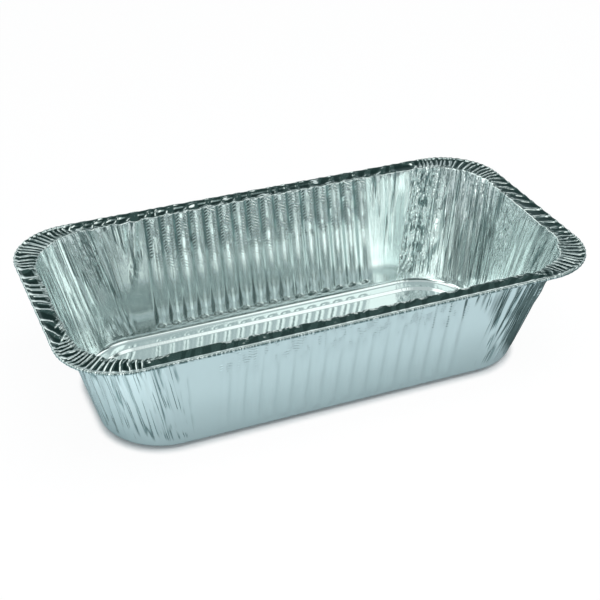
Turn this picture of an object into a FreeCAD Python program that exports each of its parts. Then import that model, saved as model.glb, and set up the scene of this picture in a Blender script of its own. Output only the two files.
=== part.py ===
# Deep oblong tray pressed from one sheet of aluminium foil
import FreeCAD
import Part
import math
import os
import random

# Overall sizes in millimetres
rim_length = 325.0
rim_width = 172.0
tray_height = 80.0
foil = 0.12

# The wall leans outward by the same run on all four sides
wall_run = 17.4
corner_radius = 38.5

# Base: a narrow ledge all round, then a step down to the floor
foot_fillet = 3.0
ledge_run = 4.2
step_height = 2.8
step_run = 1.8
step_round = 1.0

# Rim: a flat flange, then a bead rolled outward and under
rim_reach = 11.4
throat_fillet = 1.2
flange_dip = 1.1
bead_radius = 1.35
bead_from = 135.0
bead_to = -180.0
bead_steps = 7

# Upright ribs pressed outward along both long sides, on a slightly raised field
rib_count = 16
rib_pitch = 9.6
rib_depth = 0.7
field_step = 0.15
field_slope_run = 1.5

# Folds where the sheet was drawn in round the corners and along the ends
corner_folds = 6
end_folds = 3
fold_depth = 0.9
end_fold_share = 0.6
fold_foot_rise = 4.0
gather_height = 0.35
smooth_patch = [0.85, 0.7]

rib_zone = rib_count * rib_pitch / 2
ledge_z = foil + step_height
top_z = tray_height - flange_dip
random.seed(11)

# A tray outline is a rounded rectangle: half length, half width, corner radius
rim_outline = (rim_length / 2, rim_width / 2, corner_radius)
throat_outline = (rim_length / 2 - rim_reach, rim_width / 2 - rim_reach, corner_radius)
foot_outline = (throat_outline[0] - wall_run, throat_outline[1] - wall_run, corner_radius)

# The wall's angle from upright, and how far it turns into ledge and flange
draft = math.atan2(wall_run, top_z - ledge_z)
wall_turn = math.pi / 2 - draft


def between(one, two, t):
    return tuple(p + (q - p) * t for p, q in zip(one, two))


def grown(outline, d):
    return tuple(p + d for p in outline)


def smooth(t):
    t = min(max(t, 0.0), 1.0)
    return t * t * (3 - 2 * t)


# One turn of the section: where it runs, and how far folds and gathers show in it
class Row:
    def __init__(self, name, outline, z, folds=0.0, gathers=0.0):
        self.name = name
        self.outline = outline
        self.z = z
        self.folds = folds
        self.gathers = gathers

    def moved(self, dx, dz):
        return Row(self.name, grown(self.outline, dx), self.z + dz, self.folds, self.gathers)


# The section runs from the floor's edge out to the end of the curl
def section():
    rows = []
    foot_in = foot_fillet + ledge_run
    lean = math.atan2(step_height, step_run)
    cut = step_round * math.tan(lean / 2)
    low = foot_in + step_run
    rows.append(Row("floor", grown(foot_outline, -low - cut), foil))
    slope = (cut * math.cos(lean), cut * math.sin(lean))
    rows.append(Row("step", grown(foot_outline, -low + slope[0]), foil + slope[1]))
    rows.append(Row("step", grown(foot_outline, -foot_in - slope[0]), ledge_z - slope[1]))
    rows.append(Row("ledge", grown(foot_outline, -foot_in + cut), ledge_z))
    cut = foot_fillet * math.tan(wall_turn / 2)
    rows.append(Row("ledge", grown(foot_outline, -cut), ledge_z))
    for i in (1, 2):
        a = wall_turn * i / 2
        out = foot_fillet * math.sin(a) - cut
        up = foot_fillet * (1 - math.cos(a))
        rows.append(Row("wall foot" if i == 2 else "fillet", grown(foot_outline, out), ledge_z + up))
    foot = rows[-1]
    cut = throat_fillet * math.tan(wall_turn / 2)
    head = Row("wall head", grown(throat_outline, -cut * math.sin(draft)), top_z - cut * math.cos(draft), 1.0)
    t = fold_foot_rise / (head.z - foot.z)
    rows.append(Row("folds", between(foot.outline, head.outline, t), foot.z + fold_foot_rise, 1.0))
    rows.append(head)
    rows.append(Row("flange", grown(throat_outline, cut), top_z, 1.0, 1.0))
    flat = (rim_reach - 2 * bead_radius) / rim_reach
    rows.append(Row("flange end", between(throat_outline, rim_outline, flat), top_z))
    for i in range(bead_steps + 1):
        a = math.radians(bead_from + (bead_to - bead_from) * i / bead_steps)
        out = bead_radius * (math.cos(a) - 1)
        up = tray_height - bead_radius + bead_radius * math.sin(a)
        rows.append(Row("bead", grown(rim_outline, out), up))
    return rows


# The far face of the sheet lies one foil thickness from the near face, measured
# square to the section, so each row moves along its mitre line. At the wall foot
# it drops by the whole thickness, because the ribs end there on a level shelf.
def far_side(rows):
    path = [(row.outline[0], row.z) for row in rows]
    normals = [(0.0, -1.0)]
    for (x0, z0), (x1, z1) in zip(path, path[1:]):
        size = math.hypot(x1 - x0, z1 - z0)
        normals.append(((z1 - z0) / size, (x0 - x1) / size))
    normals.append(normals[-1])
    moved = []
    for row, one, two in zip(rows, normals, normals[1:]):
        nx, nz = one[0] + two[0], one[1] + two[1]
        size = nx * one[0] + nz * one[1]
        dx, dz = foil * nx / size, foil * nz / size
        if row.name == "wall foot":
            dx = foil * (math.cos(draft) - math.tan(draft) * (1 - math.sin(draft)))
            dz = -foil
        moved.append(row.moved(dx, dz))
    return moved


# Twelve stretches make one turn: panel, ribs, panel, corner, end, corner, twice
def place(k, outline, f):
    a, b, r = outline
    part = k % 6
    sx = a - r
    normal = (0.0, -1.0)
    if part == 0:
        x, y = -sx + (sx - rib_zone) * f, -b
    elif part == 1:
        x, y = -rib_zone + 2 * rib_zone * f, -b
    elif part == 2:
        x, y = rib_zone + (sx - rib_zone) * f, -b
    elif part == 4:
        x, y = a, (b - r) * (2 * f - 1)
        normal = (1.0, 0.0)
    else:
        angle = math.pi / 2 * (f - 1 if part == 3 else f)
        normal = (math.cos(angle), math.sin(angle))
        x = sx + r * normal[0]
        y = (b - r) * (-1 if part == 3 else 1) + r * normal[1]
    if k >= 6:
        return -x, -y, (-normal[0], -normal[1])
    return x, y, normal


phases = [[random.uniform(0, 2 * math.pi) for i in range(2)] for end in range(2)]


# How far out the ribbed field stands, and its ribs on top of that
def rib_relief(f):
    from_edge = 2 * rib_zone * min(f, 1 - f)
    step = field_step * smooth(from_edge / field_slope_run)
    return step + rib_depth / 2 * (1 - math.cos(2 * math.pi * rib_count * f))


# The folds run through a corner, an end and the next corner as one wave. The end
# wall narrows towards its foot, so its folds get shallower there with their spacing.
def fold_relief(k, f, outline):
    g = k % 6 - 3 + f
    waves = corner_folds * min(g, 1.0)
    waves += end_folds * min(max(g - 1, 0.0), 1.0)
    waves += corner_folds * max(g - 2, 0.0)
    one, two = phases[k // 6]
    height = math.sin(2 * math.pi * waves + one) + 0.4 * math.sin(1.3 * math.pi * waves + two)
    height *= smooth(g / 0.3) * smooth((3 - g) / 0.3)
    height *= 1 - smooth_patch[k // 6] * math.exp(-((g - 1.5) / 0.35) ** 2)
    if 1 < g < 2:
        height *= end_fold_share * (outline[1] - outline[2]) / (throat_outline[1] - corner_radius)
    return height * smooth(abs(g - 1) / 0.12) * smooth(abs(g - 2) / 0.12) / 2.8


def line(points):
    return Part.makeLine(*[FreeCAD.Vector(*p) for p in points])


# A smooth curve along one stretch of a row, through evenly spaced places
def curve(k, row, count, relief):
    steps = [i / count for i in range(count + 1)]
    points = []
    for f in steps:
        x, y, normal = place(k, row.outline, f)
        out, up = relief(f)
        points.append(FreeCAD.Vector(x + normal[0] * out, y + normal[1] * out, row.z + up))
    spline = Part.BSplineCurve()
    spline.interpolate(Points=points, Parameters=steps)
    return spline.toShape()


def ribs(k, row):
    return curve(k, row, 8 * rib_count, lambda f: (rib_relief(f), 0.0))


# One stretch of a row: lines and arcs where the sheet is plain, else its folds
def edge(k, row):
    part = k % 6
    if part >= 3 and (row.folds or row.gathers):
        count = 8 * (end_folds if part == 4 else corner_folds)

        def relief(f):
            height = fold_relief(k, f, row.outline)
            return fold_depth * row.folds * height, gather_height * row.gathers * height

        return curve(k, row, count, relief)
    spots = [place(k, row.outline, f)[:2] + (row.z,) for f in (0.0, 0.5, 1.0)]
    if part in (3, 5):
        return Part.Arc(*[FreeCAD.Vector(*p) for p in spots]).toShape()
    return line([spots[0], spots[2]])


def flat_face(edges):
    return Part.Face(Part.Wire(Part.__sortEdges__(edges)))


def seam(k, rows, f):
    spots = [place(k, row.outline, f)[:2] + (row.z,) for row in rows]
    return [line(pair) for pair in zip(spots, spots[1:])]


# A level or leaning flat panel between two rows. Its side towards a corner is
# broken where the corner has rows of its own, its side towards the ribs is not.
def panel(k, rows):
    ends = [rows[0], rows[-1]]
    towards_corner = 0.0 if k % 6 == 0 else 1.0
    sides = seam(k, rows, towards_corner) + seam(k, ends, 1.0 - towards_corner)
    return flat_face([edge(k, ends[0]), edge(k, ends[1])] + sides)


# One face of the sheet, near or far
def skin(rows):
    names = [row.name for row in rows]
    foot = names.index("wall foot")
    head = names.index("wall head")
    flange = names.index("flange")
    end = names.index("flange end")
    faces = [flat_face([edge(k, rows[0]) for k in range(12)])]
    for k in range(12):
        part = k % 6
        spans = [(i, i + 1) for i in range(len(rows) - 1)]
        if part < 3:
            spans = [s for s in spans if not (foot <= s[0] < head or flange <= s[0] < end)]
        for low, high in spans:
            ribbed = part == 1 and head <= low and high <= flange
            make = ribs if ribbed else edge
            faces.append(Part.makeRuledSurface(make(k, rows[low]), make(k, rows[high])))
        if part in (0, 2):
            faces.append(panel(k, rows[foot:head + 1]))
            faces.append(panel(k, rows[flange:end + 1]))
        if part == 1:
            faces.append(flat_face([edge(k, rows[foot]), ribs(k, rows[foot])]))
            faces.append(Part.makeRuledSurface(ribs(k, rows[foot]), ribs(k, rows[head])))
            sides = seam(k, [rows[flange], rows[end]], 0.0) + seam(k, [rows[flange], rows[end]], 1.0)
            faces.append(flat_face([ribs(k, rows[flange]), edge(k, rows[end])] + sides))
    return faces


near = section()
far = far_side(near)
faces = skin(near) + skin(far)
# the cut edge of the sheet inside the curl
for k in range(12):
    faces.append(Part.makeRuledSurface(edge(k, near[-1]), edge(k, far[-1])))

sheet = Part.makeCompound(faces)
sheet.sewShape(0.001)
tray = Part.Solid(sheet.Shells[0])
if tray.Volume < 0:
    tray.reverse()

box = tray.BoundBox
print("size", round(box.XLength, 2), round(box.YLength, 2), round(box.ZLength, 2))
print("valid", tray.isValid(), "shells", len(sheet.Shells), "faces", len(tray.Faces))
print("volume cm3", round(tray.Volume / 1000, 2), "lowest", round(box.ZMin, 3))

os.makedirs("parts", exist_ok=True)
tray.exportStep("parts/foil_tray.step")
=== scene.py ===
# %% [markdown]
# # A deep foil tray, pressed from one sheet
# The tray starts as a flat blank of thin aluminium. A press pushes it down into a tub with sloping
# sides, folds the spare metal into the corners, and rolls the edge over so that it isn't sharp.
# We build it the same way: one grid stands for the blank, and every point of it is moved to where
# the press would put it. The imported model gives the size, so we load that first.

# %% Load the frame
import bmesh
import bpy
import math
import numpy as np
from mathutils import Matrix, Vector, noise


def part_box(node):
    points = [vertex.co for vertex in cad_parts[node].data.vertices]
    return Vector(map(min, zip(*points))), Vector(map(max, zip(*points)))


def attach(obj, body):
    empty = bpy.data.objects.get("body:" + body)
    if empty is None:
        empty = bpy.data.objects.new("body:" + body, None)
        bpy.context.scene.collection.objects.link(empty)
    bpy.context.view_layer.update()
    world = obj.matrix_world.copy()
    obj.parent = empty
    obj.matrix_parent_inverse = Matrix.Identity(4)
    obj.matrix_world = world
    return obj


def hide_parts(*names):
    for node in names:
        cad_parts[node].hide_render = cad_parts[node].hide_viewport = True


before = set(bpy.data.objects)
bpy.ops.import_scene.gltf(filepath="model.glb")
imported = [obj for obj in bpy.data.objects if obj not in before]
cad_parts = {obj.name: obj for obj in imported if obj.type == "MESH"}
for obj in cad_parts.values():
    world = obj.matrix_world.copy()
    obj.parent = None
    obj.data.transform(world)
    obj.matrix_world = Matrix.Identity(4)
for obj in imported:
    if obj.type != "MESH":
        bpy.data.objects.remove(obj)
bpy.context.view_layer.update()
MM = 0.001
low, high = (np.array(corner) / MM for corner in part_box("foil_tray"))
length, width, height = high - low
print("tray in mm:", length.round(2), width.round(2), height.round(2))

# %% [markdown]
# ## The section of the tray
# If you cut the tray in half, the cut edge shows a floor, a small step up to a ledge, a leaning wall,
# a flat flange and a rolled bead. These few sizes describe it. All are in millimetres.

# %% Sizes of the section
FOIL = 0.12
CORNER_RADIUS = 38.5
RIM_REACH = 11.4
WALL_RUN = 17.4
LEDGE_RUN = 4.2
STEP_HEIGHT = 2.8
STEP_RUN = 1.8
STEP_ROUND = 1.0
FOOT_FILLET = 3.0
THROAT_FILLET = 0.7
FLANGE_DIP = 1.1
BEAD_RADIUS = 1.0
RIB_COUNT = 16
RIB_PITCH = 9.6

rim = np.array([length / 2, width / 2, CORNER_RADIUS])
throat = rim - [RIM_REACH, RIM_REACH, 0]
foot = throat - [WALL_RUN, WALL_RUN, 0]
ledge_z = FOIL + STEP_HEIGHT
flange_z = height - FLANGE_DIP
draft = math.atan2(WALL_RUN, flange_z - ledge_z)
wall_turn = math.pi / 2 - draft
rib_zone = RIB_COUNT * RIB_PITCH / 2
print("wall leans", round(math.degrees(draft), 1), "degrees")

# %% [markdown]
# ## Rows of the blank
# Each row of the grid becomes one turn round the tray. A row needs an outline, which is a rounded
# rectangle given as half length, half width and corner radius, and a height. Fillets get a few rows
# on an arc, so that light rolls over them, and flat parts get only as many as their creases need.
# The floor is flat in the middle and bows up a little towards its edge.

# %% Lay out the rows
rows = []


def add_row(outline, z, wall=0.0, flange=0.0, bead=None):
    """One turn round the tray, with how far up the wall and how far out on the flange it lies"""
    rows.append({"outline": np.array(outline), "z": z, "wall": wall, "flange": flange, "bead": bead})


def smooth(t):
    t = np.clip(t, 0.0, 1.0)
    return t * t * (3 - 2 * t)


LEDGE_DIP = 0.2
FLOOR_BOW = 0.9
FLOOR_BOW_RUN = 16.0
FLAT_MARGIN = 3.0
BOW_ROWS = (0.0, 0.5, 0.85, 1.0)
step_drop = STEP_HEIGHT - FLOOR_BOW - LEDGE_DIP
lean = math.atan2(step_drop, STEP_RUN)
step_cut = STEP_ROUND * math.tan(lean / 2)
foot_in = FOOT_FILLET + LEDGE_RUN
floor_edge = foot - (foot_in + STEP_RUN + step_cut)
add_row(floor_edge * 0.0, FOIL)
add_row(floor_edge - FLOOR_BOW_RUN - FLAT_MARGIN, FOIL)
for raised in BOW_ROWS:
    add_row(floor_edge - FLOOR_BOW_RUN * (1 - raised), FOIL + FLOOR_BOW * raised)
for turn in (0.5, 1.0):
    out = -step_cut + STEP_ROUND * math.sin(lean * turn)
    up = FLOOR_BOW + STEP_ROUND * (1 - math.cos(lean * turn))
    add_row(foot - (foot_in + STEP_RUN) + out, FOIL + up)
for turn in (1.0, 0.5, 0.0):
    out = step_cut - STEP_ROUND * math.sin(lean * turn)
    add_row(foot - foot_in + out, ledge_z - LEDGE_DIP - STEP_ROUND * (1 - math.cos(lean * turn)))
fillet_cut = FOOT_FILLET * math.tan(wall_turn / 2)
for turn in (0.0, 0.25, 0.5, 0.75, 1.0):
    out = FOOT_FILLET * math.sin(wall_turn * turn) - fillet_cut
    add_row(foot + out, ledge_z + FOOT_FILLET * (1 - math.cos(wall_turn * turn)))
print(len(rows), "rows up to the wall")

# %% [markdown]
# ## Rows of the wall, the flange and the bead
# The wall has close rows at its foot, where each rib ends in a small level foot, and even rows above.
# The flange has rows enough for its ironed pleats, and the bead is an arc that turns out and under.
# Each row notes how far up the wall and how far out on the flange it lies, as a share from 0 to 1,
# because the creases, ribs and pleats fade in and out by those shares.

# %% Rows of the wall, the flange and the bead
RIB_FOOT_ROWS = [0.02, 0.036, 0.05, 0.065]
WALL_ROWS = list(np.linspace(0.12, 1.0, 15))
FLANGE_ROWS = (0.28, 0.5, 0.62, 0.75, 0.88)
BEAD_ANGLES = np.radians(np.linspace(140, -180, 9))

wall_foot_row = len(rows) - 1
wall_foot, wall_foot_z = rows[-1]["outline"], rows[-1]["z"]
throat_cut = THROAT_FILLET * math.tan(wall_turn / 2)
wall_head = throat - throat_cut * math.sin(draft)
wall_head_z = flange_z - throat_cut * math.cos(draft)
for share in RIB_FOOT_ROWS + WALL_ROWS:
    outline = wall_foot + (wall_head - wall_foot) * share
    add_row(outline, wall_foot_z + (wall_head_z - wall_foot_z) * share, wall=share)
flat_reach = RIM_REACH - 2 * BEAD_RADIUS
for turn in (0.5, 1.0):
    angle = draft + wall_turn * turn
    out = throat_cut - THROAT_FILLET * math.cos(angle)
    up = THROAT_FILLET * (math.sin(angle) - 1)
    add_row(throat + out, flange_z + up, wall=1.0, flange=max(out, 0) / flat_reach)
flange_end = rim - 2 * BEAD_RADIUS
for share in FLANGE_ROWS:
    add_row(throat + (flange_end - throat) * share, flange_z, wall=1.0, flange=share)
for angle in BEAD_ANGLES:
    out = BEAD_RADIUS * (math.cos(angle) - 1)
    up = BEAD_RADIUS * math.sin(angle)
    add_row(rim + out, height - BEAD_RADIUS + up, wall=1.0, flange=1.0, bead=angle)
path = [(row["outline"][0], row["z"]) for row in rows]
climbed = np.concatenate([[0.0], np.cumsum([math.dist(a, b) for a, b in zip(path, path[1:])])])
print(len(rows), "rows,", round(climbed[-1]), "mm from the floor's middle to the curl's end")

# %% [markdown]
# ## Columns of the blank
# A column runs from the floor's middle up the wall to the curl. The ribs stand upright, so the columns
# in the ribbed field keep one place along the length at every height, while the others fan out with
# the corner. Twelve stretches make one turn: panel, ribs, panel, corner, end, corner, and the same
# again. The first six are the front and the right end, the last six the back and the left end.

# %% Lay out the columns
COLUMNS = [34, 10 * RIB_COUNT, 34, 88, 90, 88] * 2
stretch = np.concatenate([np.full(count, k) for k, count in enumerate(COLUMNS)] + [[0]]).astype(int)
along = np.concatenate([np.arange(count) / count for count in COLUMNS] + [[0.0]])
part = stretch % 6
in_corner = (part == 3) | (part == 5)
half = np.where(stretch < 6, 1.0, -1.0)


def turn_of(outline):
    """Places and outward directions of one row, column by column"""
    a, b, r = outline
    r = min(r, a, b)
    field = min(rib_zone, (a - r) * 0.8)
    x = np.select([part == 0, part == 1, part == 2],
                  [-(a - r) + (a - r - field) * along, -field + 2 * field * along,
                   field + (a - r - field) * along], a - r)
    y = np.select([part < 3, part == 3, part == 4, part == 5],
                  [-b, -(b - r), (b - r) * (2 * along - 1), b - r])
    angle = np.select([part == 3, part == 5], [along - 1, along], 0.0) * math.pi / 2
    nx = np.where(part < 3, 0.0, np.cos(angle))
    ny = np.where(part < 3, -1.0, np.sin(angle))
    x = np.where(in_corner, x + r * nx, np.where(part == 4, a, x))
    y = np.where(in_corner, y + r * ny, y)
    return x * half, y * half, nx * half, ny * half


mid_x, mid_y, _, _ = turn_of((throat + foot) / 2)
run = np.concatenate([[0.0], np.cumsum(np.hypot(np.diff(mid_x), np.diff(mid_y)))])
around = run[-1]
print(len(along) - 1, "columns,", round(around), "mm round the middle of the wall")

# %% [markdown]
# ## Creases
# Foil can't stretch far, so the spare metal gathers into creases: dense and upright in the corners,
# fewer on the ends, hardly any on the panels beside the ribs. Noise makes them, sampled on a cylinder
# so that it closes on itself, and stretched along the height so that each crease runs up the wall.
# A triangle wave of a noisy phase gives flat facets between sharp folds, as a folded sheet has.

# %% Noise helpers
WRAP = around / (2 * math.pi)


def sheet_noise(step, tall, seed, skew=0.0):
    """Noise at every point: one swing in about step mm around and tall mm up the sheet"""
    values = np.zeros((len(rows), len(run)))
    for i, up in enumerate(climbed):
        for j, s in enumerate(run):
            angle = (s + skew * up) / WRAP
            x, y = WRAP * math.cos(angle), WRAP * math.sin(angle)
            values[i, j] = noise.noise(Vector((x / step + seed, y / step, up / tall)))
    return values


def ridged(values):
    """Sharp creases where the noise crosses zero, rounded bellies between them"""
    return 1 - 2 * np.sqrt(np.abs(values) * 1.6).clip(0, 1)


def folded(phase):
    """A triangle wave from -1 to 1: flat facets between sharp folds"""
    return 4 * np.abs(phase - np.floor(phase + 0.5)) - 1


# %% [markdown]
# ## Where the creases gather
# A mask says how much each part of the wall is creased: 1 in the corners, little on the panels, and
# less in the middle of an end, which the press draws smooth. The left end and the corner behind it
# are calmer than the right ones, and the plain panel at the back right is smoothest of all.

# %% Where creases gather
SMOOTHEST_PANEL = 0.04
CALM_SHARE = 0.45
from_panel = np.select([part == 0, part == 2], [1 - along, along], 0.0)
from_ends = np.where(part == 4, np.minimum(along, 1 - along), 0.0)
gather = np.where((part == 0) | (part == 2), 0.06 + 0.94 * smooth((from_panel - 0.5) / 0.5), 0.0)
gather = np.where(stretch == 6, SMOOTHEST_PANEL, gather)
gather = np.where(in_corner, 1.0, gather)
gather = np.where((stretch == 9) | (stretch == 10), CALM_SHARE * gather, gather)
gather = np.where(stretch == 5, 1 - 0.96 * smooth((along - 0.82) / 0.14), gather)
smooth_patch = np.where(half > 0, 0.8, 0.45)
gather = np.where(part == 4, 1 - smooth_patch * smooth(from_ends / 0.4), gather)
wall_share = np.array([row["wall"] for row in rows])[:, None]
flange_share = np.array([row["flange"] for row in rows])[:, None]
climb = smooth(wall_share / 0.1) * (0.4 + 0.6 * wall_share)
print("creased share from", gather.min().round(2), "to", gather.max().round(2))

# %% [markdown]
# ## Crumpled spots
# Where folds run into one another the foil crumples into small lumps. A spot is given by the stretch
# that it is on, its middle and its reach along that stretch, how low it comes on the wall, and how
# strong it is. The strongest one runs from the rim to the floor in the back right corner.

# %% Crumpled spots
CRUMPLES = [(5, 0.88, 0.30, 0.0, 1.0), (4, 0.62, 0.22, 0.35, 0.6), (9, 0.06, 0.14, 0.5, 0.8),
            (3, 0.5, 0.3, 0.5, 0.6), (10, 0.3, 0.2, 0.6, 0.5)]
crumpled = 0.25 * wall_share ** 6 * gather
for k, middle, reach, lowest, strength in CRUMPLES:
    spot = np.where(stretch == k, smooth(1.2 - np.abs(along - middle) / reach), 0.0)
    crumpled = np.maximum(crumpled, strength * spot * smooth((wall_share - lowest) / 0.25 + 0.2))
print(len(CRUMPLES), "crumpled spots")

# %% [markdown]
# ## Creases of the wall
# Four patterns are added up, each with its height in millimetres: folded pleats, broad waves, fine
# ridges between them, and lumps in the crumpled spots. Broad waves alone look like cloth, and pleats
# alone like a paper fan. A slow swell is kept apart, because it bends the plain parts as well.

# %% Wall creases
PLEAT_STEP = 5.6
PLEAT_MM, BROAD_MM, RIDGE_MM, LUMP_MM, SWELL_MM = 0.65, 1.3, 0.6, 1.1, 0.4
wander = 3.0 * sheet_noise(26.0, 60.0, 5.5)
phase = (run + wander * 1.8) / (around / round(around / PLEAT_STEP))
pleats = folded(phase) * (0.25 + 0.75 * smooth(0.5 + 2.4 * sheet_noise(11.0, 90.0, 71.2)))
broad = sheet_noise(9.0, 120.0, 3.1, 0.05)
ridges = ridged(sheet_noise(5.5, 70.0, 17.7, -0.04))
lumps = ridged(sheet_noise(4.0, 7.0, 29.9))
swell = sheet_noise(34.0, 60.0, 63.9)
creases = PLEAT_MM * pleats + BROAD_MM * broad + RIDGE_MM * ridges + LUMP_MM * lumps * crumpled
print("creases from", creases.min().round(2), "to", creases.max().round(2), "mm")

# %% [markdown]
# ## Darts
# The plain panels beside the ribs hold a few long pointed creases that start at the rim and die out
# part way down. Each is a tent across the sheet that narrows to nothing along a leaning line. The
# ones in the back panels are listed one by one, as stretch, share along it, reach down the wall, lean,
# half width and depth. The front panels get six shallow ones each, by chance.

# %% Darts of the panels
throat_row = next(i for i, row in enumerate(rows) if row["flange"] > 0)
below_rim = (climbed[throat_row] - climbed)[:, None]
dice = np.random.default_rng(8)


def dart(start, reach, lean_over, spread, depth):
    """A crease that starts at the rim, start mm round the sheet, and runs reach mm down the wall"""
    left = np.clip(1 - np.maximum(below_rim, 0) / reach, 0, 1)
    bend = 0.8 * np.sin(below_rim / 7.0 + start)
    off = (run - start - lean_over * below_rim - bend) / (spread * (0.3 + 0.7 * left))
    return depth * np.clip(1 - np.abs(off), 0, 1) * smooth(left * 3) * (below_rim > -1)


DARTS = [(8, 0.10, 48, 0.22, 3.2, -1.1), (8, 0.24, 24, 0.10, 2.0, 0.8), (8, 0.40, 22, 0.08, 2.2, -0.9),
         (8, 0.55, 15, 0.05, 1.8, 0.6), (8, 0.02, 30, 0.12, 2.0, 0.7), (8, 0.96, 40, 0.05, 3.0, -0.8),
         (6, 0.86, 20, 0.0, 2.4, 0.9), (6, 0.72, 30, 0.03, 2.2, 0.8), (6, 0.50, 60, 0.0, 1.8, 0.45),
         (6, 0.36, 55, 0.0, 1.6, 0.4), (6, 0.10, 35, -0.1, 2.5, -0.6)]
DARTS_BY_CHANCE = 6
darts = np.zeros((len(rows), len(run)))
for k, share, reach, lean_over, spread, depth in DARTS:
    start = np.interp(share, along[stretch == k], run[stretch == k])
    darts = darts + dart(start, reach, lean_over, spread, depth)
for k in (0, 2):
    first, last = np.flatnonzero(stretch == k)[[0, -1]]
    for start in dice.uniform(run[first], run[last], DARTS_BY_CHANCE):
        reach, lean_over = dice.uniform(10, 34), dice.uniform(-0.1, 0.1)
        depth = dice.choice([-1, 1]) * dice.uniform(0.3, 0.6)
        darts = darts + dart(start, reach, lean_over, dice.uniform(1.2, 2.4), depth)
print("darts up to", np.abs(darts).max().round(2), "mm deep")

# %% [markdown]
# ## Ribs
# The long sides carry upright grooves that stiffen them. From inside they look pushed out, and each
# ends just above the ledge in a small level foot. A groove has a flat bottom and short steep flanks:
# flat faces mirror the room as even stripes, which a rounded wave would blur. The field that holds
# the ribs stands a hair proud of the plain panels, which shows as a fine line at both its ends.

# %% Depth of the ribs
RIB_DEPTH = 0.65
FLANK_SHARE = 0.15
FIELD_STEP = 0.15
FIELD_SLOPE_RUN = 1.5
GROOVE_SHIFT = np.where(half > 0, 0.1, -0.1)
rib_turn = RIB_COUNT * along + GROOVE_SHIFT
from_middle = np.abs(rib_turn - np.floor(rib_turn) - 0.5)
groove = np.clip(0.5 - (from_middle - 0.25) / FLANK_SHARE, 0, 1)
from_field_edge = 2 * rib_zone * np.minimum(along, 1 - along)
field_ramp = smooth(from_field_edge / FIELD_SLOPE_RUN)
field = FIELD_STEP * field_ramp + RIB_DEPTH * groove * field_ramp
ribs = np.where(part == 1, field, 0.0)
rib_share = smooth((wall_share - 0.03) / 0.03) * (1 - smooth((flange_share - 0.1) / 0.5))
print("ribs up to", round(float(ribs.max()), 2), "mm deep")

# %% [markdown]
# ## Flange pleats and bead crimps
# On the flange the gathered metal is ironed into pleats. They are close and radial round the corners,
# wider and slanting along the ends and the back, and almost flat along the front. Their spacing changes
# along the rim, so the phase of the pleats is summed up column by column, and made to close. A column
# crosses the flange of a corner at a slant, so the drift between the flange's two edges is taken out
# of the phase, which turns the pleats square to the rim. Then the flange itself is bent: it rises to
# the bead, most of all along the back, and its inner edge along the front stands a little high.

# %% Phase of the flange's pleats
PANEL_PLEAT, END_PLEAT, CORNER_PLEAT = 6.0, 6.4, 3.5
PLEAT_SLANT = 0.6


def spread_out(values, times):
    """Average with both neighbours, many times over, so that a change takes several columns"""
    for turn in range(times):
        values = (np.roll(values, 1) + values + np.roll(values, -1)) / 3
    return values


spacing = np.select([part == 1, part == 4], [RIB_PITCH, END_PLEAT], PANEL_PLEAT)
spacing = np.where(in_corner, CORNER_PLEAT, spacing)
density = spread_out(1 / spacing, 12)
turns = np.concatenate([[0.0], np.cumsum(density[:-1] * np.diff(run))])
turns = turns * round(turns[-1]) / turns[-1]
slant = spread_out(np.where(in_corner, 0.0, PLEAT_SLANT), 30)
inner_x, inner_y, out_x, out_y = turn_of(throat)
outer_x, outer_y, _, _ = turn_of(rim)
drift = (outer_y - inner_y) * out_x - (outer_x - inner_x) * out_y
slant = slant + density * drift
jitter = 0.9 * sheet_noise(12.0, 40.0, 23.4) + 0.3 * sheet_noise(4.5, 30.0, 61.7)
pleat_phase = turns + slant * (flange_share - 0.5) + jitter
print("flange pleats:", round(turns[-1]))

# %% Height of the flange's pleats
CORNER_DEPTH, END_DEPTH, FRONT_DEPTH = 0.42, 0.36, 0.2
CORNER_LIFT, END_LIFT, FRONT_LIFT, BACK_LIFT = 0.05, 0.1, -0.1, 0.6
THROAT_LIFT = 0.25

front_side = (half > 0) & (part < 3)
back_side = (half < 0) & (part < 3)
pleat_depth = np.select([front_side, in_corner], [FRONT_DEPTH, CORNER_DEPTH], END_DEPTH)
pleat_depth = spread_out(pleat_depth, 12)
rim_lift = np.select([front_side, back_side, in_corner], [FRONT_LIFT, BACK_LIFT, CORNER_LIFT], END_LIFT)
rim_lift = spread_out(rim_lift, 12)
throat_lift = spread_out(np.where(front_side, THROAT_LIFT, 0.0), 30)
throat_lift = throat_lift * smooth((wall_share - 0.85) / 0.15) * (1 - smooth(flange_share / 0.85))
on_flange = smooth(flange_share / 0.12) * (1 - 0.4 * smooth((flange_share - 0.7) / 0.3))
ridge_side = np.abs(pleat_phase - np.floor(pleat_phase + 0.5))
ridge = smooth(1 - ridge_side / np.where(in_corner, 0.5, 0.24))
rim_pleats = ridge * pleat_depth * (0.4 + 0.6 * smooth(0.6 + 2.0 * sheet_noise(7.0, 30.0, 51.0)))
crimp = pleat_depth * (0.45 - 0.4 * np.cos(2 * math.pi * pleat_phase[-1]))
crimp = crimp + dice.uniform(0.0, 0.06, len(run))
crimp[-1] = crimp[0]
print("pleats up to", rim_pleats.max().round(2), "mm high")
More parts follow.
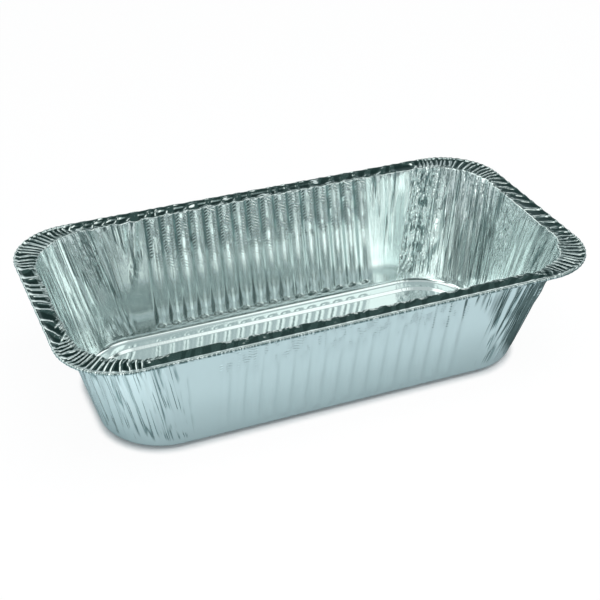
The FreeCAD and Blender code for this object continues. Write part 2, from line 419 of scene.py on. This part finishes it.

# %% [markdown]
# ## Add up the relief
# Ribs, creases and darts move a point outward, square to its wall, and pleats move it upward. Each
# fades where the next begins, so the wall's creases die out on the flange and the pleats start there.
# The shares are kept as well: the material reads them, to crumple the surface and paint shade in the
# same places.

# %% Add up the relief
off_flange = 1 - smooth((flange_share - 0.05) / 0.3)
outward = ribs * rib_share + (gather * climb * creases + darts) * off_flange
swell_share = climb * (1 - wall_share ** 6) * np.where(part == 1, 0.2, 1.0)
outward = outward + SWELL_MM * swell * swell_share
upward = on_flange * rim_pleats + rim_lift * smooth((flange_share - 0.5) / 0.38) + throat_lift
creased_share = (gather * climb + np.clip(np.abs(darts) * 1.5, 0, 0.6)) * off_flange
crumpled_share = crumpled * off_flange
ribbed_share = np.where(part == 1, 1.0, 0.0) * smooth((wall_share - 0.5) / 0.25) * off_flange
bead_share = np.zeros((len(rows), 1))
for i, row in enumerate(rows):
    if row["bead"] is not None:
        bead_share[i] = max(math.cos(row["bead"]), 0.0)
print("points move", outward.min().round(2), "to", outward.max().round(2), "mm outward")

# %% [markdown]
# ## Press the blank
# The grid is made once, flat. Each point finds its row and column from where it lies in the flat grid,
# then moves to its place in the tray. The first and last column meet, and the first row shrinks to the
# floor's middle, so merging doubles closes both. A grid is used, and not a ready tub, because its rows
# and columns say where every point belongs.

# %% Places of the points
FRONT_RIB_SHADE = 0.35
COLUMN_COUNT, ROW_COUNT = len(run) - 1, len(rows) - 1
places = np.zeros((len(rows), len(run), 3))
for i, row in enumerate(rows):
    x, y, nx, ny = turn_of(row["outline"])
    out, up = outward[i], upward[i]
    if row["bead"] is not None:
        out = -crimp * (0.5 + 0.5 * math.cos(row["bead"]))
        up = -crimp * (0.5 + 0.5 * math.sin(row["bead"]))
    places[i] = np.stack([x + nx * out, y + ny * out, row["z"] + up], axis=1)
places[:, -1] = places[:, 0]
# How strong the painted shade and painted highlight on the ribs are: full at the back, weaker at the
# front
grooved_share = np.where(part == 1, np.where(half > 0, FRONT_RIB_SHADE, 1.0), 0.0) * rib_share
shares = {"creased": creased_share, "crumpled": crumpled_share, "flange": on_flange * pleat_depth / 0.4,
          "ribbed": ribbed_share, "bead": bead_share, "grooved": grooved_share}
shares = {name: np.broadcast_to(share, outward.shape) for name, share in shares.items()}
print(places.shape[0] * places.shape[1], "places for the points")

# %% Make the sheet
sheet = bmesh.new()
bmesh.ops.create_grid(sheet, x_segments=COLUMN_COUNT, y_segments=ROW_COUNT, size=1.0)
blank = sheet.verts.layers.float_vector.new("blank")
layers = {name: sheet.verts.layers.float.new(name) for name in shares}
pleat_uv = sheet.loops.layers.uv.new("pleat")
for vert in sheet.verts:
    i = round((vert.co.y + 1) / 2 * ROW_COUNT)
    j = round((vert.co.x + 1) / 2 * COLUMN_COUNT)
    for name, layer in layers.items():
        vert[layer] = float(shares[name][i, j])
    for loop in vert.link_loops:
        loop[pleat_uv].uv = (pleat_phase[i, j], run[j])
    angle = run[j] / WRAP
    vert[blank] = Vector((WRAP * math.cos(angle), WRAP * math.sin(angle), climbed[i]))
    vert.co = Vector(places[i, j]) * MM
print(len(layers) + 2, "layers of data on the sheet")

# %% Close the sheet
bmesh.ops.remove_doubles(sheet, verts=sheet.verts, dist=1e-7)
bmesh.ops.dissolve_degenerate(sheet, edges=sheet.edges, dist=1e-7)
bmesh.ops.recalc_face_normals(sheet, faces=sheet.faces)
middle = min(sheet.faces, key=lambda face: face.calc_center_median().length)
if middle.normal.z < 0:
    bmesh.ops.reverse_faces(sheet, faces=sheet.faces)
for face in sheet.faces:
    face.smooth = True
tray_mesh = bpy.data.meshes.new("pressed_tray")
sheet.to_mesh(tray_mesh)
sheet.free()
tray = bpy.data.objects.new("pressed_tray", tray_mesh)
bpy.context.scene.collection.objects.link(tray)
print("sheet:", len(tray_mesh.vertices), "points,", len(tray_mesh.polygons), "faces")

# %% [markdown]
# ## Give the sheet its thickness
# Solidify turns the single skin into real foil. Its offset of -1 puts the metal behind the face we
# modelled, which looks into the tray, so the inside keeps its shape and the underside touches the floor.

# %% Thickness
wall = tray.modifiers.new("foil", "SOLIDIFY")
wall.thickness = FOIL * MM
wall.offset = -1.0
wall.use_even_offset = True
evened = tray.modifiers.new("even_normals", "WEIGHTED_NORMAL")
evened.mode = "FACE_AREA"
print("foil is", FOIL, "mm thick")

# %% [markdown]
# ## Bright rolled aluminium
# Foil is a mirror that has been handled: bright and slightly blurred, with a crinkle that is stronger
# where the sheet was gathered. Metallic 1 and a low roughness give the mirror. The nodes are made in
# code, so a few short helpers come first: one makes a node, one does sums, one maps a range, one
# blends colours, and one gives noise that is measured on the flat blank and so follows the sheet.

# %% Foil material and its helpers
foil = bpy.data.materials.new("bright_foil")
foil.use_nodes = True
nodes, links = foil.node_tree.nodes, foil.node_tree.links
surface = nodes["Principled BSDF"]
surface.inputs["Metallic"].default_value = 1.0


def node(kind, **values):
    made = nodes.new(kind)
    for name, value in values.items():
        if name in made.inputs:
            made.inputs[name].default_value = value
        else:
            setattr(made, name, value)
    return made


place = node("ShaderNodeTexCoord")
blank_place = node("ShaderNodeAttribute", attribute_name="blank")
masks = {name: node("ShaderNodeAttribute", attribute_name=name).outputs["Fac"] for name in shares}


def maths(kind, *values):
    made = node("ShaderNodeMath", operation=kind)
    for socket, value in zip(made.inputs, values):
        if isinstance(value, (int, float)):
            socket.default_value = value
        else:
            links.new(value, socket)
    return made.outputs[0]


def remap(value, low_in, high_in, low_out, high_out, kind="LINEAR"):
    made = node("ShaderNodeMapRange", interpolation_type=kind)
    limits = {"From Min": low_in, "From Max": high_in, "To Min": low_out, "To Max": high_out}
    for name, number in limits.items():
        made.inputs[name].default_value = number
    links.new(value, made.inputs["Value"])
    return made.outputs["Result"]


def colour_sockets(mix):
    """A Mix node keeps one set of sockets for each kind of data: these are its colour ones"""
    return [s for s in mix.inputs if s.type == "RGBA"], [s for s in mix.outputs if s.type == "RGBA"][0]


def blend_colours(first, second, factor):
    mix = node("ShaderNodeMix", data_type="RGBA")
    (one, two), out = colour_sockets(mix)
    for socket, value in ((one, first), (two, second), (mix.inputs[0], factor)):
        if isinstance(value, (tuple, float)):
            socket.default_value = value
        else:
            links.new(value, socket)
    return out


def sheet_pattern(around_mm, up_mm, detail=3.0, distortion=0.0):
    """Noise that is as wide as around_mm and as tall as up_mm on the flat blank"""
    scaled = node("ShaderNodeMapping")
    scaled.inputs["Scale"].default_value = (1 / around_mm, 1 / around_mm, 1 / up_mm)
    links.new(blank_place.outputs["Vector"], scaled.inputs["Vector"])
    made = node("ShaderNodeTexNoise", Scale=1.0, Detail=detail, Roughness=0.55, Distortion=distortion)
    links.new(scaled.outputs["Vector"], made.inputs["Vector"])
    return made.outputs["Fac"]


# %% [markdown]
# ## Handling haze
# Fingers and stacking leave foil a little hazy in places. Noise varies the roughness in a low range:
# much lower and the creases look like glass, much higher and they melt into one grey.

# %% Roughness: handling haze
SMOOTH_FOIL, HAZY_FOIL = 0.06, 0.11
marks = node("ShaderNodeTexNoise", Scale=160.0, Detail=4.0, Roughness=0.6)
links.new(place.outputs["Object"], marks.inputs["Vector"])
haze = remap(marks.outputs["Fac"], 0.3, 0.7, SMOOTH_FOIL, HAZY_FOIL)
links.new(haze, surface.inputs["Roughness"])
print("roughness from", SMOOTH_FOIL, "to", HAZY_FOIL)

# %% [markdown]
# ## Relief too fine for the mesh
# One Bump node carries what is finer than the grid: crinkle in the gathered parts, lumps in the
# crumpled spots, thin folded lines, the sharp tops of the pleats, crimps along the bead, and short
# slanting ticks on the upper half of the ribs. Each is a pattern and its height in millimetres.

# %% Crinkle, lumps and folded lines
crinkle = maths("MULTIPLY", sheet_pattern(1.1, 16.0), remap(masks["creased"], 0, 1, 0.02, 0.14))
knots = sheet_pattern(2.0, 6.0, 2.0)
crumple = maths("MULTIPLY", knots, masks["crumpled"])
from_line = maths("ABSOLUTE", maths("SUBTRACT", sheet_pattern(3.4, 90.0, 1.5, 0.1), 0.5))
line = remap(from_line, 0.01, 0.05, 1.0, 0.0)
line = maths("MULTIPLY", line, remap(masks["creased"], 0.08, 0.35, 0.0, 1.0))
line = maths("MULTIPLY", line, remap(sheet_pattern(5.0, 22.0, 1.0), 0.40, 0.54, 0.0, 1.0))
print("crinkle, lumps and folded lines:", len(nodes), "nodes so far")

# %% Pleats, crimps and ticks
CRIMP_PITCH = 1.5
TICK_RISE, TICK_SLANT = 2.0, 2.2
phase_uv = node("ShaderNodeUVMap", uv_map="pleat")
phase_split = node("ShaderNodeSeparateXYZ")
links.new(phase_uv.outputs["UV"], phase_split.inputs[0])
pleat_wave = maths("PINGPONG", phase_split.outputs["X"], 0.5)
pleat_ridge = maths("MULTIPLY", remap(pleat_wave, 0.0, 0.2, 1.0, 0.0, "SMOOTHSTEP"), masks["flange"])
tick_wave = maths("SINE", maths("MULTIPLY", phase_split.outputs["Y"], 2 * math.pi / CRIMP_PITCH))
crimps = maths("MULTIPLY", tick_wave, masks["bead"])
across = node("ShaderNodeSeparateXYZ")
links.new(place.outputs["Object"], across.inputs[0])
rib_side = maths("PINGPONG", maths("MULTIPLY_ADD", across.outputs["X"], 1000 / RIB_PITCH, 0.5), 0.5)
climb_mm = node("ShaderNodeSeparateXYZ")
links.new(blank_place.outputs["Vector"], climb_mm.inputs[0])
climbing = maths("MULTIPLY", climb_mm.outputs["Z"], 1 / TICK_RISE)
slanting = maths("MULTIPLY_ADD", rib_side, TICK_SLANT, climbing)
slant_wave = maths("SINE", maths("MULTIPLY", slanting, 2 * math.pi))
patches = sheet_pattern(4.0, 9.0, 1.0)
ticks = maths("MULTIPLY", slant_wave, masks["ribbed"])
ticks = maths("MULTIPLY", ticks, remap(patches, 0.42, 0.6, 0.0, 1.0))
print("pleats, crimps and ticks:", len(nodes), "nodes so far")

# %% Heights in millimetres, for one Bump node
heights = [(crinkle, 1.0), (crumple, 1.6), (line, -0.25), (pleat_ridge, 0.16), (crimps, 0.07),
           (ticks, 0.14)]
total = maths("MULTIPLY", heights[0][0], heights[0][1])
for pattern, tall in heights[1:]:
    total = maths("MULTIPLY_ADD", pattern, tall, total)
bump = node("ShaderNodeBump", Distance=0.001, Strength=1.0)
links.new(total, bump.inputs["Height"])
links.new(bump.outputs["Normal"], surface.inputs["Normal"])
print(len(heights), "patterns added up")

# %% [markdown]
# ## Shade that is painted
# In a photographer's room every rib shows one dark flank and one bright flank. Soft windows can't
# draw lines that fine, so part of this is painted: painted shade on one flank and a painted highlight
# on the other. It is strong on the inside of the back wall and weaker at the front, and the outside
# has a trace of it. A point is on the inside if its face looks towards the middle of the floor. The
# dark strokes, the valleys between pleats and the dark spots of the crumpled corner are painted shade
# as well, and follow the same patterns as the relief.

# %% Shade of the rib flanks
OUTSIDE_TRACE = 0.12
facing = node("ShaderNodeVectorMath", operation="DOT_PRODUCT")
links.new(place.outputs["Normal"], facing.inputs[0])
links.new(place.outputs["Object"], facing.inputs[1])
inside = maths("LESS_THAN", facing.outputs["Value"], 0.0)
flanks = maths("MULTIPLY", remap(inside, 0.0, 1.0, OUTSIDE_TRACE, 1.0), masks["grooved"])


def flank(middle, narrow, wide):
    """1 on one flank of every rib, whose middle lies at this share of the pitch"""
    off = maths("PINGPONG", maths("MULTIPLY_ADD", across.outputs["X"], 1000 / RIB_PITCH, -middle), 0.5)
    return maths("MULTIPLY", remap(off, narrow, wide, 1.0, 0.0), flanks)


# Painted shade on one flank of each rib, fading in over this run above the ribs' feet; the other flank
# gets a painted highlight
SHADE_FADE_RUN = 22
foot_climb = float(climbed[wall_foot_row])
flank_shade_by_height = remap(climb_mm.outputs["Z"], foot_climb, foot_climb + SHADE_FADE_RUN, 0.15, 0.55)
flank_shade_by_height = maths("MAXIMUM", flank_shade_by_height, masks["ribbed"])
shaded_flank = maths("MULTIPLY", flank(0.15, 0.04, 0.16), flank_shade_by_height)
painted_highlight = flank(0.66, 0.03, 0.13)
print("shade of the ribs starts", round(foot_climb), "mm from the floor's middle")

# %% Painted shade: strokes, valleys and dark spots
# Painted shade in short strokes on the ribs, in the valleys between the flange's pleats and in spots of
# the crumpled corner
strokes = remap(slant_wave, -0.1, 0.3, 0.0, 1.0)
strokes = maths("MULTIPLY", strokes, remap(patches, 0.32, 0.44, 0.0, 1.0))
strokes = maths("MULTIPLY", maths("MULTIPLY", strokes, masks["ribbed"]), flank(0.25, 0.16, 0.26))
painted_shade = maths("MAXIMUM", shaded_flank, strokes)
valleys = maths("MULTIPLY", remap(pleat_wave, 0.22, 0.34, 0.0, 0.95), masks["flange"])
painted_shade = maths("MAXIMUM", painted_shade, valleys)
knotted = remap(masks["crumpled"], 0.55, 0.95, 0.0, 1.0)
painted_shade = maths("MAXIMUM", painted_shade, maths("MULTIPLY", remap(knots, 0.40, 0.50, 0.95, 0.0), knotted))
print("painted shade:", len(nodes), "nodes so far")

# %% Colour: painted shade in creases, notches and rib flanks, and a painted highlight on the ribs
BARE_FOIL = (0.77, 0.83, 0.83, 1.0)
PAINTED_HIGHLIGHT_COLOUR = (0.92, 0.97, 0.97, 1.0)
PAINTED_SHADE_COLOUR = (0.16, 0.24, 0.24, 1.0)
# Painted shadow in the notches between the bead's crimps, and painted shade along the folded lines of
# the creases
notches = maths("MULTIPLY", remap(sheet_pattern(0.8, 60.0, 1.0), 0.44, 0.50, 0.0, 1.0), masks["bead"])
dark = maths("MAXIMUM", maths("MULTIPLY", line, 0.85), notches)
dark = maths("MAXIMUM", dark, painted_shade)
# The bare foil colour gets a painted highlight on one flank of each rib, then all the painted shade over
# it
metal = blend_colours(BARE_FOIL, PAINTED_HIGHLIGHT_COLOUR, painted_highlight)
links.new(blend_colours(metal, PAINTED_SHADE_COLOUR, dark), surface.inputs["Base Color"])
tray_mesh.materials.append(foil)
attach(tray, "root")
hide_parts("foil_tray")
print("foil material with", len(nodes), "nodes")

# %% [markdown]
# ## Floor and room
# A metal object shows its room more than itself. The room here is a plain pale studio. Its white floor
# keeps the tray's shadow: most of what the camera sees of it is a plain glow, the rest is lit paper.
# The metal sees another floor: grey, with painted light at the left, a painted shadow at the right
# beside the tray and darkness far off, which gives the ends of the tray the light and dark that they
# have in the photograph.

# %% Floor
PAPER = (0.95, 0.95, 0.95, 1.0)
stage = bmesh.new()
bmesh.ops.create_grid(stage, x_segments=1, y_segments=1, size=4.0)
floor_mesh = bpy.data.meshes.new("studio_floor")
stage.to_mesh(floor_mesh)
stage.free()
floor = bpy.data.objects.new("studio_floor", floor_mesh)
bpy.context.scene.collection.objects.link(floor)
paper = bpy.data.materials.new("white_paper")
paper.use_nodes = True
nodes, links = paper.node_tree.nodes, paper.node_tree.links
surface = nodes["Principled BSDF"]
surface.inputs["Roughness"].default_value = 1.0
surface.inputs["Specular IOR Level"].default_value = 0.0
rays = node("ShaderNodeLightPath")
print("floor laid")

# %% What the metal sees of the floor
GREY_FLOOR, PALE_FLOOR = (0.54, 0.63, 0.65, 1.0), (0.80, 0.92, 0.94, 1.0)
FLOOR_SHADOW_PAINT = (0.10, 0.14, 0.14, 1.0)
spot = node("ShaderNodeTexCoord")
sides = node("ShaderNodeSeparateXYZ")
links.new(spot.outputs["Object"], sides.inputs[0])
from_tray = node("ShaderNodeVectorMath", operation="LENGTH")
links.new(spot.outputs["Object"], from_tray.inputs[0])
far_off = remap(from_tray.outputs["Value"], 0.30, 0.45, 0.0, 0.7)
# Painted shadow on the floor beside the tray's right end; the floor also darkens far off. Only the metal
# sees these
right_off = remap(sides.outputs["X"], 0.120, 0.132, 0.0, 1.0)
beside = remap(maths("ABSOLUTE", maths("ADD", sides.outputs["Y"], 0.045)), 0.05, 0.07, 1.0, 0.0)
dark_share = maths("MAXIMUM", far_off, maths("MULTIPLY", right_off, beside))
# Painted light on the floor at the left, which only the metal sees
left_on = remap(sides.outputs["X"], -0.10, -0.15, 0.0, 1.0)
pale = blend_colours(GREY_FLOOR, PALE_FLOOR, left_on)
for_metal = blend_colours(pale, FLOOR_SHADOW_PAINT, dark_share)
paper_colour = blend_colours(PAPER, for_metal, rays.outputs["Is Glossy Ray"])
links.new(paper_colour, surface.inputs["Base Color"])
print("floor colours:", len(nodes), "nodes")

# %% What the camera sees of the floor
SHADOW_REACH = 0.006
glow = node("ShaderNodeEmission", Strength=1.0)
nearby = node("ShaderNodeAmbientOcclusion", samples=8)
nearby.inputs["Distance"].default_value = SHADOW_REACH
share = remap(nearby.outputs["AO"], 0.5, 0.86, 0.1, 0.95)
share = maths("MULTIPLY", share, rays.outputs["Is Camera Ray"])
blend = node("ShaderNodeMixShader")
links.new(share, blend.inputs[0])
links.new(surface.outputs[0], blend.inputs[1])
links.new(glow.outputs[0], blend.inputs[2])
links.new(blend.outputs[0], nodes["Material Output"].inputs[0])
floor_mesh.materials.append(paper)
print("shadow within", SHADOW_REACH / MM, "mm of the tray")

# %% [markdown]
# ## Room
# Mirror-like foil needs both bright and dark things to reflect, or its creases vanish. So the world
# shows the metal a pale horizon, a dark band above it and a pale top. On that lie dim patches, low
# all round, and broad soft windows of light. Each is given by the direction of its middle, its reach
# and the softness of its edge in degrees, and its colour, and is drawn by the angle between a
# direction and that middle. The camera sees plain white, and matt things are lit by an even grey.

# %% Bands of the room
room = bpy.data.worlds.new("studio_room")
bpy.context.scene.world = room
room.use_nodes = True
nodes, links = room.node_tree.nodes, room.node_tree.links
backdrop = nodes["Background"]
where = node("ShaderNodeTexCoord")
split = node("ShaderNodeSeparateXYZ")
links.new(where.outputs["Generated"], split.inputs[0])
bands = node("ShaderNodeValToRGB")
ramp = bands.color_ramp
BANDS = [(0.0, (0.69, 0.78, 0.78)), (0.12, (0.67, 0.76, 0.76)), (0.365, (0.58, 0.66, 0.66)),
         (0.40, (0.045, 0.075, 0.07)), (0.74, (0.045, 0.085, 0.08)), (0.85, (0.56, 0.64, 0.64)),
         (1.0, (0.56, 0.64, 0.64))]
ramp.elements[0].position, ramp.elements[1].position = BANDS[0][0], BANDS[-1][0]
for spot, level in BANDS[1:-1]:
    ramp.elements.new(spot)
for element, (spot, level) in zip(ramp.elements, BANDS):
    element.color = (*level, 1.0)
links.new(split.outputs["Z"], bands.inputs["Fac"])
print("room with", len(BANDS), "bands")

# %% Windows of the room
EVEN_GREY, WHITE = (0.36, 0.41, 0.44, 1.0), (1.0, 1.0, 1.0, 1.0)


def soft_window(shown, azimuth, elevation, reach, softness, level):
    """Add a round patch, seen towards azimuth (0 is +Y, 90 is +X) and elevation, in degrees"""
    a, e = math.radians(azimuth), math.radians(elevation)
    middle = (math.sin(a) * math.cos(e), math.cos(a) * math.cos(e), math.sin(e))
    towards = node("ShaderNodeVectorMath", operation="DOT_PRODUCT")
    links.new(where.outputs["Generated"], towards.inputs[0])
    towards.inputs[1].default_value = middle
    outer, inner = (math.cos(math.radians(reach + side * softness)) for side in (1, -1))
    edge = remap(towards.outputs["Value"], outer, inner, 0.0, 1.0, "SMOOTHSTEP")
    return blend_colours(shown, level, edge)


WINDOWS = [
    (34, 20, 10, 2, (0.13, 0.17, 0.17, 1.0)),
    (66, 12, 9, 2, (0.09, 0.13, 0.13, 1.0)),
    (112, 12, 10, 2, (0.09, 0.13, 0.13, 1.0)),
    (165, 12, 11, 2, (0.09, 0.13, 0.13, 1.0)),
    (-150, 14, 11, 2, (0.09, 0.13, 0.13, 1.0)),
    (-117, 5, 9, 2, (0.11, 0.16, 0.16, 1.0)),
    (-66, 14, 9, 2, (0.09, 0.13, 0.13, 1.0)),
    (-36, 43, 9, 4, (0.40, 0.46, 0.45, 1.0)),
    (24, 6, 10, 3, (1.03, 1.12, 1.10, 1.0)),
    (25, 55, 8, 2, (1.22, 1.30, 1.25, 1.0)),
    (-12, 22, 15, 4, (1.26, 1.35, 1.30, 1.0)),
    (-42, 26, 11, 3, (2.06, 2.20, 2.12, 1.0)),
    (-82, 28, 17, 3, (1.82, 1.94, 1.87, 1.0)),
    (-95, 54, 14, 3, (1.50, 1.58, 1.52, 1.0)),
    (-127, 24, 14, 3, (2.52, 2.68, 2.60, 1.0)),
    (-60, 70, 12, 4, (1.26, 1.36, 1.32, 1.0)),
    (142, 46, 16, 3, (1.22, 1.30, 1.26, 1.0)),
    (124, 63, 7, 2, (1.31, 1.40, 1.35, 1.0)),
    (82, 42, 16, 3, (1.36, 1.46, 1.42, 1.0)),
]
shown = bands.outputs["Color"]
for window in WINDOWS:
    shown = soft_window(shown, *window)
rays = node("ShaderNodeLightPath")
shown = blend_colours(EVEN_GREY, shown, rays.outputs["Is Glossy Ray"])
shown = blend_colours(shown, WHITE, rays.outputs["Is Camera Ray"])
links.new(shown, backdrop.inputs["Color"])
print("room with", len(WINDOWS), "patches and windows")

# %% [markdown]
# ## Lamp
# One large lamp from above and in front lays the soft shadow on the paper. The metal doesn't mirror
# it, because the room's windows are there for that.

# %% Lamp
LAMP_WATTS = 23.0
lamp = bpy.data.lights.new("top_light", "AREA")
lamp.shape = "RECTANGLE"
lamp.size, lamp.size_y = 1.5, 1.1
lamp.energy = LAMP_WATTS
holder = bpy.data.objects.new("top_light", lamp)
holder.location = (0.1, -0.5, 1.4)
holder.rotation_euler = (-holder.location).to_track_quat("-Z", "Y").to_euler()
holder.visible_glossy = False
bpy.context.scene.collection.objects.link(holder)
print("lamp", round(holder.location.length, 2), "m away")

# %% [markdown]
# ## Camera
# The camera stands a little left of the tray's middle and looks down at about 32 degrees with a
# longish lens, so that the near rim and the far rim stay in proportion.

# %% Camera
CAMERA_AT = Vector((-254.07, -611.69, 453.36)) * MM
LOOKS_AT = Vector((32.95, 80.89, -9.54)) * MM
camera = bpy.data.cameras.new("camera")
camera.sensor_width = 36.0
camera.lens = 76.1
camera.clip_start = 0.01
viewer = bpy.data.objects.new("camera", camera)
viewer.location = CAMERA_AT
viewer.rotation_euler = (LOOKS_AT - CAMERA_AT).to_track_quat("-Z", "Y").to_euler()
bpy.context.scene.collection.objects.link(viewer)
bpy.context.scene.camera = viewer
bpy.context.scene.view_settings.view_transform = "Standard"
print("camera", round((LOOKS_AT - CAMERA_AT).length, 2), "m from what it looks at")
